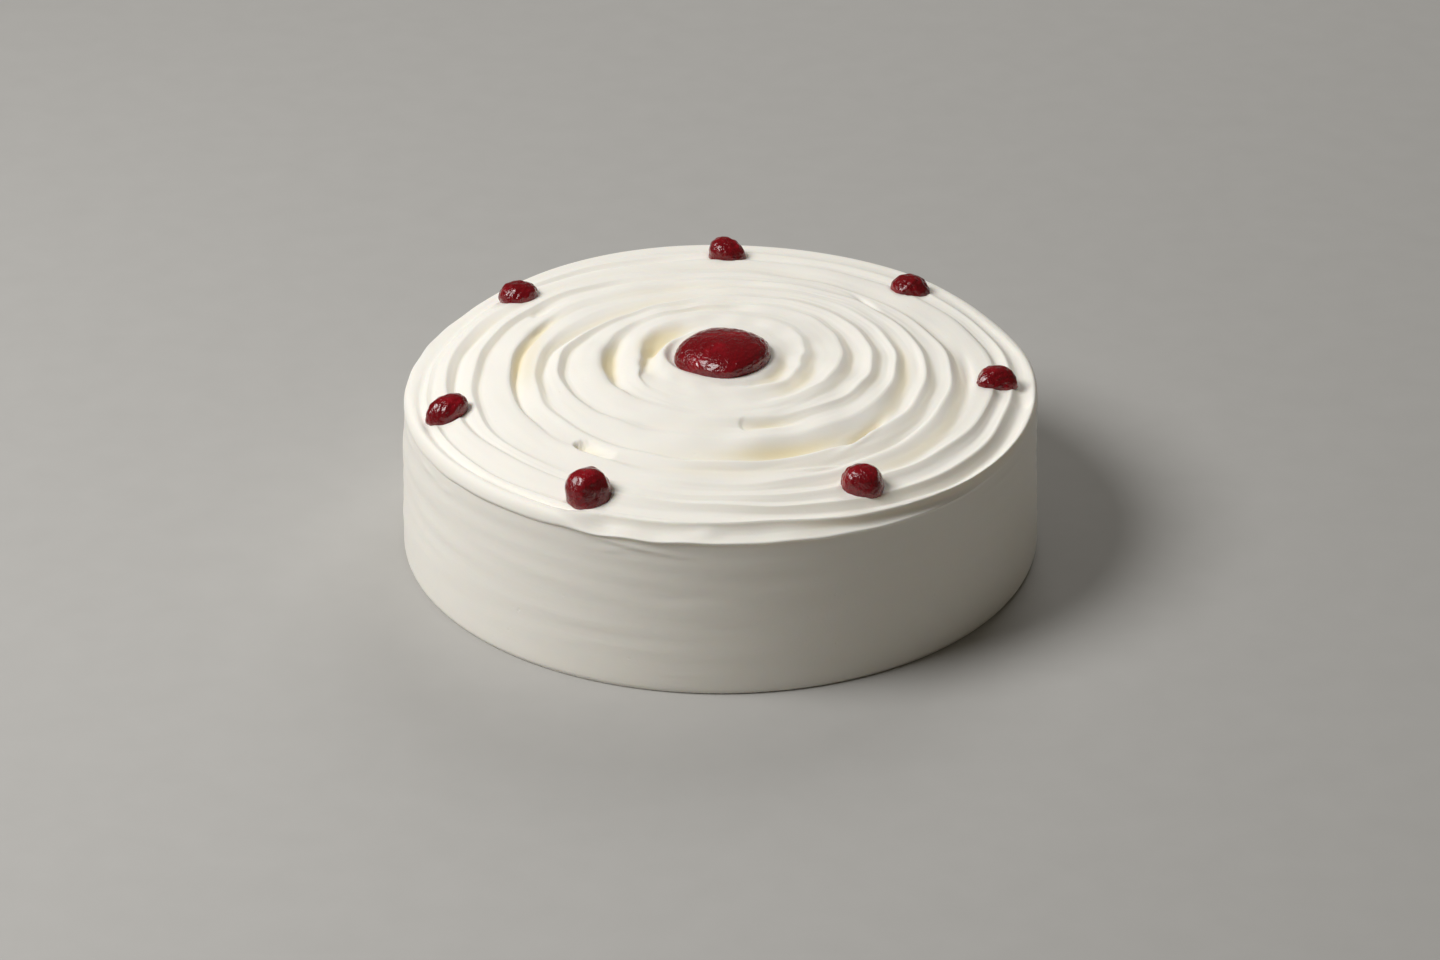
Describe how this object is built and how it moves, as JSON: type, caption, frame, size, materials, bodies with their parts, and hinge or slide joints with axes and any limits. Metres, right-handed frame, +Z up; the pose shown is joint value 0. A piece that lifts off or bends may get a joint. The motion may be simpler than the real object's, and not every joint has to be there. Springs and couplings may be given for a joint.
{
  "type": "rose cake",
  "caption": "Round white cream cake with a spiral-swirled top, a large dark red jelly drop in the middle and small ones round the rim.",
  "frame": {"origin": "middle of the cake's outline, on the surface that it rests on", "axes": "+Z up; -Y is the front, where the picture is taken from; +X is its right"},
  "size_m": [0.2422, 0.2418, 0.083],
  "materials": {
    "cream": "soft satin whipped cream",
    "jelly": "wet gloss"
  },
  "bodies": {
    "root": {"cake": "cream", "jelly_centre": "jelly", "jelly_left": "jelly", "jelly_back_left": "jelly", "jelly_back": "jelly", "jelly_back_right": "jelly", "jelly_right": "jelly", "jelly_front_right": "jelly", "jelly_front_left": "jelly"}
  },
  "joints": []
}
